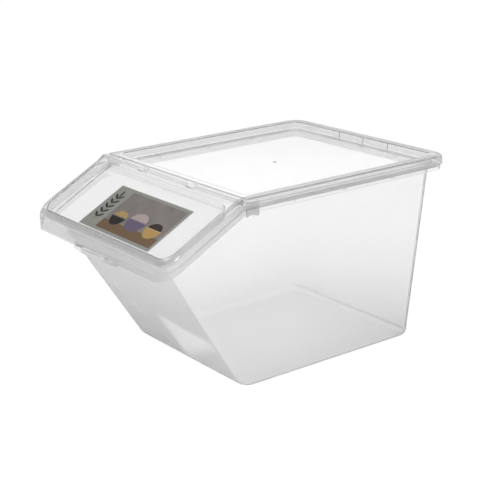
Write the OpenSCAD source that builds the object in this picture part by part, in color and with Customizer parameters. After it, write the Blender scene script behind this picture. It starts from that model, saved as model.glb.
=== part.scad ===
// Tilt-front storage box: a clear tub with a lift-off lid, a hinged front flap and a label card.
// +X is to the box's right, -Y is its front, +Z is up. The origin is on the ground under the middle.

/* [Overall] */
// Width over the lid and the flap
overall_w = 390; // [330:5:450]
// Height from the ground to the top of the lid's rim
overall_h = 315; // [250:5:380]
// Length of the lid, from the hinge axis to its rear face
lid_l = 415; // [340:5:500]
// Length of the flap down its slope, from the hinge axis to its front face
flap_l = 156; // [120:2:190]
// Slope of the closed flap below the horizontal, in degrees
flap_slope = 28; // [18:1:36]

/* [Tub] */
// How far the side and rear walls lean out between the floor and the rim
wall_lean = 23; // [10:1:32]
// Lean of the front wall from the vertical, in degrees
front_lean = 31; // [20:1:36]
// Width of the rim flange in front of the front wall
front_flange_w = 19.5; // [12:0.5:30]
// Thickness of the tub's walls
wall_t = 2; // [1.5:0.1:3]
// Thickness of the tub's floor
floor_t = 2.4; // [1.8:0.1:4]
// Radius of the tub's upright corners at the floor
floor_r = 18; // [10:1:30]
// Radius of the tub's upright corners at the rim
mouth_r = 22; // [12:1:30]
// Thickness of the tub's rim flange
flange_t = 2; // [1.5:0.1:3]
// Height of the flange's turned-down lip, with the flange
lip_h = 7.2; // [5:0.1:7.6]
// Thickness of the flange's turned-down lip
lip_t = 2; // [1.5:0.1:3]
// Number of gussets under each side of the flange, and under its rear
gussets = 3; // [1:1:5]
// Thickness of a gusset
gusset_t = 1.8; // [1.2:0.1:2.5]
// How far above the lip's lower edge a gusset ends
gusset_rise = 1; // [0.5:0.1:2]

/* [Lid] */
// Width of the rim around the sides and rear of the lid's tray
rim_w = 18; // [14:0.5:24]
// Width of the rim's bar between the hinge and the tray
front_bar_w = 15; // [10:0.5:24]
// Thickness of the lid
lid_t = 1.8; // [1.4:0.1:2.6]
// Depth of the lid's tray below the rim
tray_depth = 14; // [10:0.5:20]
// Height of the lid's skirt
lid_skirt_h = 15.2; // [12:0.1:17]
// Radius of the lid's rear corners
lid_r = 27; // [18:1:36]
// Radius of the lid's front corners
lid_front_r = 3; // [2:0.5:6]
// Radius of the tray's corners
tray_r = 14; // [8:1:20]
// Number of snap pads on the tray's rear wall
snap_pads = 3; // [1:1:5]
// Distance between the snap pads
snap_pitch = 61; // [30:1:62]
// Width of a snap pad
snap_w = 17; // [8:1:24]
// How far a snap pad stands out of the wall
snap_out = 1.6; // [0.8:0.1:2.4]
// Diameter of the moulding gate's mark in the middle of the tray
gate_d = 5; // [3:0.5:8]
// Depth of the gate's mark
gate_depth = 0.5; // [0.3:0.1:0.8]

/* [Clip tabs] */
// Length of the clip tab at each front corner of the lid
tab_l = 23; // [18:1:32]
// Height of a clip tab, from the top of the rim to its tip
tab_h = 27.5; // [25:0.5:30]
// Width of the tip at the rear of a clip tab's lower edge
tab_tip_w = 5; // [3:0.5:7]
// Height of the arch in front of the tip
tab_arch_h = 2.5; // [1:0.5:4]

/* [Flap] */
// Thickness of the flap
flap_t = 1.8; // [1.4:0.1:2.6]
// Width of the flap's side and front rims
flap_rim_w = 14.5; // [12:0.5:18]
// Width of the flap's rim along the hinge, down the slope
flap_back_w = 16; // [13:0.5:20]
// Depth of the flap's recess, straight down
recess_depth = 16; // [12:0.5:18]
// Height of the flap's skirt, straight down
flap_skirt_h = 26; // [26:0.5:32]
// Radius of the flap's front corners
flap_r = 30; // [20:1:36]
// Radius of the recess's corners
recess_r = 18; // [8:1:22]
// Number of ribs across the front rim's channel, beside each corner
flap_ribs = 3; // [1:1:4]
// Distance between those ribs
flap_rib_pitch = 26; // [16:1:30]
// Thickness of those ribs
flap_rib_t = 1.4; // [1:0.1:2]

/* [Finger lip] */
// Width of the finger lip on the flap's front
pull_w = 126; // [80:2:160]
// How far the finger lip flares out in front of the skirt
pull_out = 7; // [4:0.5:10]
// How far the finger lip hangs below the skirt
pull_drop = 4; // [2:0.5:8]
// How far up the skirt the finger lip starts
pull_rise = 6; // [3:0.5:10]

/* [Hinge] */
// Diameter of the hinge rod along the flap
rod_d = 6; // [4.5:0.1:7]
// Radial clearance between the rod and the lid's clips
hinge_gap = 0.3; // [0.2:0.05:0.5]
// Wall of the lid's hinge clips
clip_t = 1.8; // [1.4:0.1:2.4]
// Width of a hinge clip
clip_w = 12; // [8:0.5:18]
// Distance between the two hinge clips
clip_pitch = 136; // [90:2:220]
// Space between the clips' outside and the lid's front edge, which lets the open flap lean back
lean_gap = 1; // [0.5:0.1:2]
// Space in front of a clip, in the notch of the flap's rim
notch_gap = 3; // [2.8:0.1:5]
// Space beside a clip in that notch
notch_side_gap = 0.6; // [0.4:0.1:1.5]

/* [Label] */
// Width of the label card
label_w = 202; // [120:2:300]
// Space between the label card and the front and rear of the flap's recess, down the slope
label_margin = 14.3; // [4:0.1:30]
// Thickness of the label card
label_t = 0.4; // [0.3:0.1:1]
// Distance of the label's middle to the right of the box's middle
label_shift = 9; // [-30:1:30]

/* [Hidden] */

$fn = 96;
hull_fn = 48;     // circles inside a hull, which comes out as flat facets
arc_fn = 720;     // the finger lip, a short arc of a wide circle
thin = 0.01;      // discs that a hull is stretched over
seat_gap = 0.3;   // between faces that rest on each other
slide_gap = 1.2;  // between the skirts and the tub's flange beside them
past = 1;         // how far a cut runs past the face that it opens

// Places along Y
slope = tan(flap_slope);
flap_run = flap_l * cos(flap_slope);
y_rear = (lid_l + flap_run + pull_out) / 2;
y_hinge = y_rear - lid_l;
y_front = y_hinge - flap_run;

// The hinge
rod_r = rod_d / 2;
clip_r = rod_r + hinge_gap + clip_t; // outside of a clip, flush with the lid's top
z_hinge = overall_h - clip_r;
clip_slot = rod_d * 0.75;            // the slot that the rod snaps in through
clip_slot_angle = 235;               // the slot looks forward and down
lid_front = y_hinge + clip_r + lean_gap;
flap_edge = y_hinge - rod_d / 3;     // rear edge of the flap's rim, over the rod

// The tub's rim lies just under the lid's tray and just under the flap's recess
rim_z = overall_h - tray_depth - lid_t - seat_gap;
panel_t = flap_t / cos(flap_slope);  // straight down through the flap's panel
flap_to_rim = recess_depth + panel_t + seat_gap;
slope_z0 = overall_h - flap_to_rim - slope * y_hinge; // height of the sloped rim's plane at y = 0
y_bend = (rim_z - slope_z0) / slope;                  // where the rim bends from level to sloped

// The tub's flange and walls
lean_run = tan(front_lean);
flange_half = overall_w / 2 - lid_t - slide_gap;
flange_front = y_front + flap_t + slide_gap;
flange_rear = y_rear - lid_t - slide_gap;
flange_front_r = flap_r - flap_t - slide_gap;
flange_rear_r = lid_r - lid_t - slide_gap;
mouth_half = overall_w / 2 - rim_w;
mouth_rear = y_rear - rim_w;
front_top = flange_front + front_flange_w;

// The lid's tray
tray_z = overall_h - tray_depth;
tray_front = lid_front + front_bar_w;

// The flap's recess
recess_half = overall_w / 2 - flap_rim_w;
recess_front = y_front + flap_rim_w;
recess_back = y_hinge - flap_back_w * cos(flap_slope);
label_l = (recess_back - recess_front) / cos(flap_slope) - 2 * label_margin;

function flap_top(y) = overall_h + (y - y_hinge) * slope;   // top of the flap's rim
function rim_top(y) = min(rim_z, slope_z0 + slope * y);     // top of the tub's rim
function half_at(z) = mouth_half + wall_lean * (z / rim_z - 1);
function rear_at(z) = mouth_rear + wall_lean * (z / rim_z - 1);
function front_at(z) = front_top + lean_run * (rim_top(front_top) - z);
function corner_at(z) = floor_r + (mouth_r - floor_r) * z / rim_z;

// A rectangle from x = -half to half and y0 to y1, with corner radii r0 at y0 and r1 at y1
module plan(half, y0, y1, r0, r1) {
    for (s = [-1, 1]) {
        translate([s * (half - r0), y0 + r0]) circle(r0);
        translate([s * (half - r1), y1 - r1]) circle(r1);
    }
    polygon([
        [-half, y0 + r0], [-half + r0, y0], [half - r0, y0], [half, y0 + r0],
        [half, y1 - r1], [half - r1, y1], [-half + r1, y1], [-half, y1 - r1]
    ]);
}

// The same rectangle as a solid between two heights
module plate(half, y0, y1, r0, r1, z0, z1) {
    translate([0, 0, z0]) linear_extrude(z1 - z0) plan(half, y0, y1, r0, r1);
}

// A side view, given as [y, z] points, made solid across the box
module side_view(points, half = overall_w) {
    rotate([90, 0, 90]) translate([0, 0, -half]) linear_extrude(2 * half) polygon(points);
}

// Everything between two distances straight below the flap's sloped top
module sloped_band(above, below) {
    y0 = y_front - past;
    y1 = y_hinge + rod_r;
    side_view([
        [y0, flap_top(y0) - below], [y1, flap_top(y1) - below],
        [y1, flap_top(y1) - above], [y0, flap_top(y0) - above]
    ]);
}

// Everything between two distances straight below the tub's bent rim
module rim_band(above, below) {
    y0 = y_front - past;
    y1 = y_rear + past;
    side_view([
        [y0, rim_top(y0) - below], [y_bend, rim_z - below], [y1, rim_z - below],
        [y1, rim_z - above], [y_bend, rim_z - above], [y0, rim_top(y0) - above]
    ]);
}

// A thin disc in one upright corner of the tub, t inside its outer faces
module corner_disc(side, front, z, t) {
    r = corner_at(z) - t;
    y = front ? front_at(z) + t / cos(front_lean) + r : rear_at(z) - t - r;
    translate([side * (half_at(z) - t - r), y, z]) cylinder(r = r, h = thin, $fn = hull_fn);
}

// The tub's shape t inside its outer faces, between two heights
module tub_form(t, z0, z1) {
    hull() for (side = [-1, 1], front = [true, false], z = [z0, z1 - thin])
        corner_disc(side, front, z, t);
}

// The tub's flange seen from above, with its edge moved in
module flange_plan(inset) {
    plate(flange_half - inset, flange_front + inset, flange_rear - inset,
        flange_front_r - inset, flange_rear_r - inset, 0, overall_h);
}

// Gussets between the walls and the flange's lip, which end above the lip's lower edge
module flange_gussets() {
    z0 = rim_z - lip_h + gusset_rise;
    h = rim_z - flange_t / 2 - z0;
    side_w = flange_half - mouth_half + wall_t - lip_t;
    rear_w = flange_rear - mouth_rear + wall_t - lip_t;
    for (i = [1:gussets]) {
        y = y_hinge + i * (mouth_rear - y_hinge) / (gussets + 1);
        for (side = [-1, 1])
            translate([side * (mouth_half - wall_t + side_w / 2) - side_w / 2, y - gusset_t / 2, z0])
                cube([side_w, gusset_t, h]);
        translate([mouth_half * (2 * i / (gussets + 1) - 1) - gusset_t / 2, mouth_rear - wall_t, z0])
            cube([gusset_t, rear_w, h]);
    }
}

module tub() {
    color([0.90, 0.92, 0.93, 0.45]) difference() {
        union() {
            intersection() {
                tub_form(0, 0, rim_z);
                rim_band(0, overall_h);
            }
            intersection() {
                flange_plan(0);
                rim_band(0, flange_t);
            }
            intersection() {
                difference() {
                    flange_plan(0);
                    flange_plan(lip_t);
                }
                rim_band(0, lip_h);
            }
            flange_gussets();
        }
        tub_form(wall_t, floor_t, rim_z + past);
    }
}

// A clip tab at a front corner of the lid, with an arch and a tip at its lower edge
module clip_tab(side) {
    z0 = overall_h - tab_h;
    y1 = lid_front + tab_l;
    arch_w = tab_l - tab_tip_w;
    arch_r = (arch_w * arch_w / 4 + tab_arch_h * tab_arch_h) / (2 * tab_arch_h);
    translate([side * (overall_w - lid_t) / 2, 0, 0]) difference() {
        side_view([
            [lid_front + lid_front_r, overall_h - lid_t], [lid_front, overall_h - lid_t - lid_front_r],
            [lid_front, z0], [y1 - tab_tip_w / 2, z0], [y1, z0 + tab_tip_w], [y1, overall_h - lid_t]
        ], lid_t / 2);
        translate([0, lid_front + arch_w / 2, z0 + tab_arch_h - arch_r]) rotate([0, 90, 0])
            cylinder(r = arch_r, h = 2 * lid_t, center = true);
    }
}

// A hinge clip: a split ring round the flap's rod, joined to the lid's front edge
module hinge_clip(x) {
    translate([x, y_hinge, z_hinge]) rotate([90, 0, 90]) linear_extrude(clip_w, center = true)
        difference() {
            union() {
                circle(clip_r);
                translate([0, -clip_r]) square([lid_front + lid_t - y_hinge, 2 * clip_r]);
            }
            circle(rod_r + hinge_gap);
            rotate(clip_slot_angle) translate([0, -clip_slot / 2]) square([2 * clip_r, clip_slot]);
        }
}

// The lid seen from above with its edges moved in, as a solid between two heights
module lid_plate(inset, z0, z1) {
    front_r = max(lid_front_r - inset, thin);
    plate(overall_w / 2 - inset, lid_front + inset, y_rear - inset, front_r, lid_r - inset, z0, z1);
}

// The lid's tray seen from above with its edges moved out, as a solid between two heights
module tray_plate(outset, z0, z1) {
    r = tray_r + outset;
    plate(mouth_half + outset, tray_front - outset, mouth_rear + outset, r, r, z0, z1);
}

module top_lid() {
    skirt_z = overall_h - lid_skirt_h;
    color([0.88, 0.90, 0.91, 0.5]) {
        difference() {
            union() {
                lid_plate(0, skirt_z, overall_h);
                tray_plate(lid_t, tray_z - lid_t, overall_h - lid_t);
            }
            // the rim's channel, open at the bottom
            difference() {
                lid_plate(lid_t, 0, overall_h - lid_t);
                tray_plate(lid_t, -past, overall_h);
            }
            // the tray, and the space under its floor
            tray_plate(0, tray_z, overall_h + past);
            tray_plate(lid_t, 0, tray_z - lid_t);
            translate([0, (tray_front + mouth_rear) / 2, tray_z - gate_depth])
                cylinder(d = gate_d, h = tray_depth);
        }
        for (i = [1:snap_pads])
            translate([(i - (snap_pads + 1) / 2) * snap_pitch, mouth_rear - snap_out, tray_z - lid_t / 2])
                cube([snap_w, snap_out + lid_t / 2, tray_depth]);
        for (side = [-1, 1]) {
            clip_tab(side);
            hinge_clip(side * clip_pitch / 2);
        }
    }
}

// The flap seen from above up to y1, with its three outer edges moved in
module flap_plan(inset, y1) {
    plate(overall_w / 2 - inset, y_front + inset, y1, flap_r - inset, thin, 0, overall_h + past);
}

// The recess seen from above, with its edges moved out
module recess_plan(outset) {
    r = recess_r + outset;
    plate(recess_half + outset, recess_front - outset, recess_back + outset, r, r, 0, overall_h + past);
}

// The curled lip under the middle of the flap's front, part of a cone about an upright axis
module finger_lip() {
    arc_r = (pull_w * pull_w / 4 + pull_out * pull_out) / (2 * pull_out);
    half_angle = asin(pull_w / 2 / arc_r);
    skirt_r = arc_r - pull_out; // from the cone's axis to the middle of the skirt
    skirt_z = flap_top(y_front) - flap_skirt_h;
    intersection() {
        translate([0, y_front + skirt_r, 0]) rotate([0, 0, -90 - half_angle])
            rotate_extrude(angle = 2 * half_angle, $fn = arc_fn)
                polygon([
                    [skirt_r - flap_t, skirt_z + pull_rise], [arc_r - flap_t, skirt_z - pull_drop],
                    [arc_r, skirt_z - pull_drop], [skirt_r, skirt_z + pull_rise]
                ]);
        translate([-pull_w / 2, y_front - pull_out, skirt_z - pull_drop])
            cube([pull_w, pull_out + flap_t, pull_drop + pull_rise]);
    }
}

module front_flap() {
    color([0.85, 0.87, 0.88, 0.55]) {
        difference() {
            union() {
                intersection() {
                    difference() {
                        flap_plan(0, flap_edge);
                        recess_plan(0);
                    }
                    sloped_band(0, panel_t);
                }
                intersection() {
                    difference() {
                        flap_plan(0, y_hinge + rod_r);
                        flap_plan(flap_t, y_hinge + rod_r + past);
                    }
                    difference() {
                        sloped_band(0, flap_skirt_h);
                        translate([-overall_w, flap_edge, z_hinge]) cube(2 * overall_w);
                    }
                }
                intersection() {
                    difference() {
                        recess_plan(flap_t);
                        recess_plan(0);
                    }
                    sloped_band(0, recess_depth + panel_t);
                }
                intersection() {
                    recess_plan(flap_t);
                    sloped_band(recess_depth, recess_depth + panel_t);
                }
                intersection() {
                    for (side = [-1, 1], i = [1:flap_ribs]) {
                        x = overall_w / 2 - flap_r - (i - 1) * flap_rib_pitch;
                        translate([side * x - flap_rib_t / 2, y_front + flap_t / 2, 0])
                            cube([flap_rib_t, flap_rim_w - flap_t, overall_h]);
                    }
                    sloped_band(panel_t / 2, recess_depth + panel_t / 2);
                }
            }
            // room for the hinge clips, up to where the open flap leans on their flat tops
            for (side = [-1, 1])
                translate([side * clip_pitch / 2, y_hinge, z_hinge]) rotate([0, 90, 0])
                    cylinder(r = clip_r + notch_gap, h = clip_w + 2 * notch_side_gap, center = true);
        }
        translate([0, y_hinge, z_hinge]) rotate([0, 90, 0]) cylinder(r = rod_r, h = overall_w, center = true);
        finger_lip();
    }
}

module label_card() {
    y_mid = (recess_front + recess_back) / 2;
    color([0.45, 0.44, 0.42]) translate([label_shift, y_mid, flap_top(y_mid) - recess_depth])
        rotate([flap_slope, 0, 0]) translate([-label_w / 2, -label_l / 2, 0])
            cube([label_w, label_l, label_t]);
}

tub();
top_lid();
front_flap();
label_card();
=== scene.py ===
# %% [markdown]
# # Tilt-front storage box
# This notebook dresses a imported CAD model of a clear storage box: a tub, a lift-off lid with a
# tray in its top, a sloped flap hinged to the lid, and a printed card that lies in the flap.
# Each shape is modelled as one thin skin from simple primitives, gets its wall with Solidify and
# stands where the CAD solid of the same name is. All lengths below are millimetres.

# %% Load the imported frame
import math

import bmesh
import bpy
from mathutils import Euler, Matrix, Vector


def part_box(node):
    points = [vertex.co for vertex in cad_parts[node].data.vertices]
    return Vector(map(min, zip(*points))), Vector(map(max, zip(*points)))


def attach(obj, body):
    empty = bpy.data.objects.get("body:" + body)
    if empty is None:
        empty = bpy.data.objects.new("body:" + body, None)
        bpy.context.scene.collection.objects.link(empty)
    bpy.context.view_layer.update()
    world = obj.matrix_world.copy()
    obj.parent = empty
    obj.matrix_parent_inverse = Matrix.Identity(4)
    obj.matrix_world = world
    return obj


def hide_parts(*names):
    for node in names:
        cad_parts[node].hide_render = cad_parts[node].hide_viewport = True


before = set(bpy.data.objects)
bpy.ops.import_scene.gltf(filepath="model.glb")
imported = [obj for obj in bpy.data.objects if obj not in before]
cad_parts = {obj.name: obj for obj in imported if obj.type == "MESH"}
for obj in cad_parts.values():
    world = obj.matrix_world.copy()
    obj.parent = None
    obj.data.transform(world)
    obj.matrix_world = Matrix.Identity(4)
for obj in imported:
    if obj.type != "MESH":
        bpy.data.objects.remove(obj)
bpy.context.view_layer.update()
MM = 0.001

# %% [markdown]
# ## The sizes that the pieces share
# A moulded box is drawn from a few planes: the level rim, the sloped rim and the leaning walls.
# The overall sizes are read from the frame, and the rest are the values of the CAD source, so
# that each skin lands on its solid.

# %% Shared sizes
_, lid_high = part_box("top_lid")
HALF_W = lid_high.x / MM
TOP_Z = lid_high.z / MM
REAR_Y = lid_high.y / MM
HINGE_TO_REAR = 415
HINGE_TO_FRONT = 156
SLOPE_ANGLE = math.radians(28)
SLOPE = math.tan(SLOPE_ANGLE)
SLOPE_COS = math.cos(SLOPE_ANGLE)
SLOPE_UP = (0, -SLOPE, 1)
HINGE_Y = REAR_Y - HINGE_TO_REAR
FRONT_Y = HINGE_Y - HINGE_TO_FRONT * SLOPE_COS
ROD_R = 3
CLIP_R = 5.1
HINGE_Z = TOP_Z - CLIP_R
RIM_W = 18
TRAY_DEPTH = 14
RECESS_DEPTH = 16
LID_T = 1.8
FLAP_T = 1.8
PANEL_T = FLAP_T / SLOPE_COS
REST_GAP = 0.3
RIM_Z = TOP_Z - TRAY_DEPTH - LID_T - REST_GAP


def flap_top(y):
    """The height of the flap's sloped rim."""
    return TOP_Z + (y - HINGE_Y) * SLOPE


def sloped_rim(y):
    """The height of the tub's rim where it slopes, just under the flap's panel."""
    return flap_top(y) - RECESS_DEPTH - PANEL_T - REST_GAP


BEND_Y = HINGE_Y + (RIM_Z - sloped_rim(HINGE_Y)) / SLOPE
print(f"hinge at y {HINGE_Y:.2f}, front at y {FRONT_Y:.2f}")
print(f"tub's rim at z {RIM_Z:.1f}, level behind y {BEND_Y:.1f}")

# %% [markdown]
# ## Small tools
# An operator acts on what is selected. So each step below first picks vertices, edges or faces
# by their place, in millimetres, and then calls one operator on them. The tools that every
# piece uses come first, and the others stand where they are first needed.


# %% Tools: objects
def deselect_all():
    if bpy.context.object and bpy.context.object.mode != "OBJECT":
        bpy.ops.object.mode_set(mode="OBJECT")
    bpy.ops.object.select_all(action="DESELECT")


def make_active(obj):
    deselect_all()
    obj.select_set(True)
    bpy.context.view_layer.objects.active = obj


def settle(name):
    """Names the new primitive and puts its place, turn and scale into its mesh."""
    obj = bpy.context.object
    obj.name = obj.data.name = name
    bpy.ops.object.transform_apply(location=True, rotation=True, scale=True)
    return obj


# %% Tools: edit mode
def edit(obj):
    make_active(obj)
    bpy.ops.object.mode_set(mode="EDIT")


def pick(obj, kind, test):
    """Selects the vertices, edges or faces whose points, in millimetres, all pass the test."""
    bpy.ops.mesh.select_mode(type=kind)
    bpy.ops.mesh.select_all(action="DESELECT")
    mesh = bmesh.from_edit_mesh(obj.data)
    items = {"VERT": mesh.verts, "EDGE": mesh.edges, "FACE": mesh.faces}[kind]
    picked = 0
    for item in items:
        points = [item.co / MM] if kind == "VERT" else [v.co / MM for v in item.verts]
        if all(test(p) for p in points):
            item.select_set(True)
            picked += 1
    bmesh.update_edit_mesh(obj.data)
    return picked


def move(dx=0, dy=0, dz=0):
    bpy.ops.transform.translate(value=(dx * MM, dy * MM, dz * MM))


def cut(point, normal, clear_above=False, clear_below=False, fill=False):
    """Cuts the whole mesh by a plane, and deletes what is above or below it."""
    bpy.ops.mesh.select_all(action="SELECT")
    bpy.ops.mesh.bisect(
        plane_co=[v * MM for v in point],
        plane_no=normal,
        use_fill=fill,
        clear_outer=clear_above,
        clear_inner=clear_below,
    )


def round_edges(radius, segments):
    bpy.ops.mesh.bevel(
        offset=radius * MM, offset_type="OFFSET", segments=segments, profile=0.5,
        affect="EDGES", clamp_overlap=True,
    )


# %% Tools: measuring
def measure(obj):
    """Prints a piece's size and whether it is closed."""
    make_active(obj)
    mesh = bmesh.new()
    mesh.from_mesh(obj.data)
    open_edges = sum(1 for e in mesh.edges if len(e.link_faces) != 2)
    volume = mesh.calc_volume() / MM**3
    size = [round(d / MM, 2) for d in obj.dimensions]
    print(f"{obj.name}: {size} mm, {volume:.0f} mm3, open edges {open_edges}")
    mesh.free()


# %% [markdown]
# ## The tub
# The real tub is one injection moulding with a 2 mm wall: leaning walls on a flat floor, rounded
# upright corners, and a flange round the mouth with a lip turned down at its edge. A box of
# faces would show hard edges in clear plastic, so the skin starts as a rounded sheet, the floor,
# which is extruded up, spread out at the top and cut off by the sloped plane of the rim.


# %% Tools: rounded sheets
def rounded_sheet(name, half, y0, y1, front_r, rear_r, z, segments=10):
    """A level sheet from x = -half to half and y0 to y1, with rounded corners."""
    deselect_all()
    bpy.ops.mesh.primitive_plane_add(size=1, location=(0, (y0 + y1) / 2 * MM, z * MM))
    bpy.context.object.scale = (2 * half * MM, (y1 - y0) * MM, 1)
    sheet = settle(name)
    edit(sheet)
    middle = (y0 + y1) / 2
    for radius, at_front in ((front_r, True), (rear_r, False)):
        pick(sheet, "VERT", lambda p: (p.y < middle) == at_front)
        bpy.ops.mesh.bevel(
            offset=radius * MM, segments=segments, profile=0.5, affect="VERTICES"
        )
    return sheet


def raise_sheet(height):
    """Extrudes the whole sheet straight up."""
    bpy.ops.mesh.select_mode(type="FACE")
    bpy.ops.mesh.select_all(action="SELECT")
    bpy.ops.mesh.extrude_region_move(TRANSFORM_OT_translate={"value": (0, 0, height * MM)})


def delete_faces(obj, test):
    pick(obj, "FACE", test)
    bpy.ops.mesh.delete(type="FACE")


# %% Tub: floor and walls
WALL_T = 2
WALL_LEAN = 23
FRONT_RIM_W = 19.5
MOUTH_HALF = HALF_W - RIM_W
MOUTH_REAR = REAR_Y - RIM_W
FLANGE_GAP = LID_T + 1.2
FLANGE_FRONT = FRONT_Y + FLANGE_GAP
FRONT_TOP = FLANGE_FRONT + FRONT_RIM_W
FRONT_LEAN = math.radians(31)
CORNER_R = 18
FLOOR_BEND_R = 9


def wall_half(z):
    return MOUTH_HALF + WALL_LEAN * (z / RIM_Z - 1) - WALL_T


def wall_rear(z):
    return MOUTH_REAR + WALL_LEAN * (z / RIM_Z - 1) - WALL_T


def wall_front(z):
    outer = FRONT_TOP + math.tan(FRONT_LEAN) * (sloped_rim(FRONT_TOP) - z)
    return outer + WALL_T / math.cos(FRONT_LEAN)


def on_rim(p):
    """True for a point on the bent plane of the tub's rim."""
    return abs(p.z - min(RIM_Z, sloped_rim(p.y))) < 0.05


def at_level_rim(p):
    return p.z > RIM_Z - 1


floor_z = WALL_T
floor_front, floor_rear = wall_front(floor_z), wall_rear(floor_z)
tub = rounded_sheet(
    "tub_shell", wall_half(floor_z), floor_front, floor_rear, CORNER_R, CORNER_R, floor_z
)
raise_sheet(RIM_Z - floor_z)
middle_y = (floor_front + floor_rear) / 2
spread = wall_half(RIM_Z) - wall_half(floor_z)
for side in (-1, 1):
    pick(tub, "VERT", lambda p: at_level_rim(p) and p.x * side > 0)
    move(dx=side * spread)
pick(tub, "VERT", lambda p: at_level_rim(p) and p.y > middle_y)
move(dy=wall_rear(RIM_Z) - floor_rear)
pick(tub, "VERT", lambda p: at_level_rim(p) and p.y < middle_y)
move(dy=wall_front(RIM_Z) - floor_front)
delete_faces(tub, at_level_rim)
pick(tub, "EDGE", lambda p: p.z < floor_z + 0.1)
round_edges(FLOOR_BEND_R, 6)
cut((0, BEND_Y, RIM_Z), SLOPE_UP, clear_above=True)
measure(tub)

# %% [markdown]
# The flange stiffens the real tub's mouth and carries the lid. Here it is the strip between two
# bent rings, the tub's mouth and the flange's edge. It could be cut from a plate, but the outer
# ring is cut from an upright prism by the same plane as the walls, so both rings have the same
# points and bridge cleanly. Its lip is the outer ring, extruded down.


# %% Tools: rings
def join(pieces):
    make_active(pieces[0])
    for piece in pieces[1:]:
        piece.select_set(True)
    bpy.ops.object.join()
    return pieces[0]


def drop_edges(depth):
    """Extrudes the selected edges straight down, into a lip or a skirt."""
    bpy.ops.mesh.extrude_edges_move(TRANSFORM_OT_translate={"value": (0, 0, -depth * MM)})


def place(item):
    """The middle of the corners of an edge or a face, in millimetres."""
    return sum((v.co for v in item.verts), Vector()) / len(item.verts) / MM


def face_up(obj, test):
    """Turns the normals so that the face that passes the test looks up."""
    bpy.ops.mesh.select_all(action="SELECT")
    bpy.ops.mesh.remove_doubles(threshold=0.00001)
    bpy.ops.mesh.normals_make_consistent(inside=False)
    mesh = bmesh.from_edit_mesh(obj.data)
    floor = max((f for f in mesh.faces if test(place(f))), key=lambda f: f.calc_area())
    if floor.normal.z < 0:
        bpy.ops.mesh.flip_normals()


def bridge_level(obj, on_surface, is_outer, lift=40):
    """Bridges two rings of one surface. The outer ring is lifted meanwhile, because bridging
    takes its direction from one ring to the other, and two level rings give it none."""
    up = Vector((0, 0, lift))
    pick(obj, "VERT", lambda p: on_surface(p) and is_outer(p))
    move(dz=lift)
    rings = pick(
        obj, "EDGE", lambda p: on_surface(p - up) if is_outer(p) else on_surface(p)
    )
    bpy.ops.mesh.bridge_edge_loops()
    pick(obj, "VERT", lambda p: is_outer(p) and on_surface(p - up))
    move(dz=-lift)
    print(f"bridged {rings} ring edges")


# %% [markdown]
# Moulded plastic has a soft radius wherever a rim turns into a wall. Those edges are found by
# the faces beside them, one in the rim's plane and one not, and bevelled while the piece is
# still a skin. Solidify then gives the whole skin an even wall, roundings and all.


# %% Tools: roundings and the wall
def is_ring(edge, on_plane):
    """True for an edge between a face that lies in the rim's plane and one that doesn't."""
    if len(edge.link_faces) != 2 or not all(on_plane(v.co / MM) for v in edge.verts):
        return False
    flat = [all(on_plane(v.co / MM) for v in f.verts) for f in edge.link_faces]
    return flat[0] != flat[1]


def round_rings(obj, on_plane, radius, segments, keep=lambda p: True):
    """Rounds the edges where a rim turns into a wall or a skirt."""
    bpy.ops.mesh.select_mode(type="EDGE")
    bpy.ops.mesh.select_all(action="DESELECT")
    mesh = bmesh.from_edit_mesh(obj.data)
    picked = 0
    for edge in mesh.edges:
        if is_ring(edge, on_plane) and keep(place(edge)):
            edge.select_set(True)
            picked += 1
    bmesh.update_edit_mesh(obj.data)
    round_edges(radius, segments)
    print(f"rounded {picked} ring edges to {radius} mm")


def apply_modifier(obj, kind, **settings):
    make_active(obj)
    bpy.ops.object.modifier_add(type=kind)
    modifier = obj.modifiers[-1]
    for key, value in settings.items():
        setattr(modifier, key, value)
    bpy.ops.object.modifier_apply(modifier=modifier.name)


def thicken(obj, thickness):
    """Gives the skin its wall, which grows inwards from the modelled side."""
    apply_modifier(obj, "SOLIDIFY", thickness=thickness * MM, offset=-1, use_even_offset=True)


# %% Tub: flange and lip
LIP_H = 7.2
LIP_FRONT_R, LIP_REAR_R = 27, 24
FLANGE_BEND_R = 2.6
lip_half, lip_rear = HALF_W - FLANGE_GAP, REAR_Y - FLANGE_GAP
lip = rounded_sheet("lip", lip_half, FLANGE_FRONT, lip_rear, LIP_FRONT_R, LIP_REAR_R, 0)
raise_sheet(RIM_Z)
delete_faces(lip, at_level_rim)
cut((0, BEND_Y, RIM_Z), SLOPE_UP, clear_above=True)
pick(lip, "VERT", lambda p: not on_rim(p))
bpy.ops.mesh.delete(type="VERT")
bpy.ops.mesh.select_mode(type="EDGE")
bpy.ops.mesh.select_all(action="SELECT")
drop_edges(LIP_H)
tub = join([tub, lip])
edit(tub)
at_mouth = lambda p: abs(p.x) < MOUTH_HALF + 1 and FRONT_TOP - 1 < p.y < MOUTH_REAR + 1
bridge_level(tub, on_rim, lambda p: not at_mouth(p))
face_up(tub, lambda p: p.z < floor_z + 1)
round_rings(tub, on_rim, FLANGE_BEND_R, 4)
thicken(tub, WALL_T)
measure(tub)

# %% [markdown]
# Thin gussets under the flange keep the rim stiff, three at each side and three at the rear.
# Each one is a small plate on the wall that ends just short of the lip. One for the sides and
# one for the rear are modelled and copied, which keeps them alike, and one Boolean joins them
# all to the tub.


# %% Tools: solid parts
def block(name, low, high):
    """A box between two corners."""
    deselect_all()
    middle = [(a + b) / 2 * MM for a, b in zip(low, high)]
    bpy.ops.mesh.primitive_cube_add(size=1, location=middle)
    bpy.context.object.scale = [(b - a) * MM for a, b in zip(low, high)]
    return settle(name)


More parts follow.
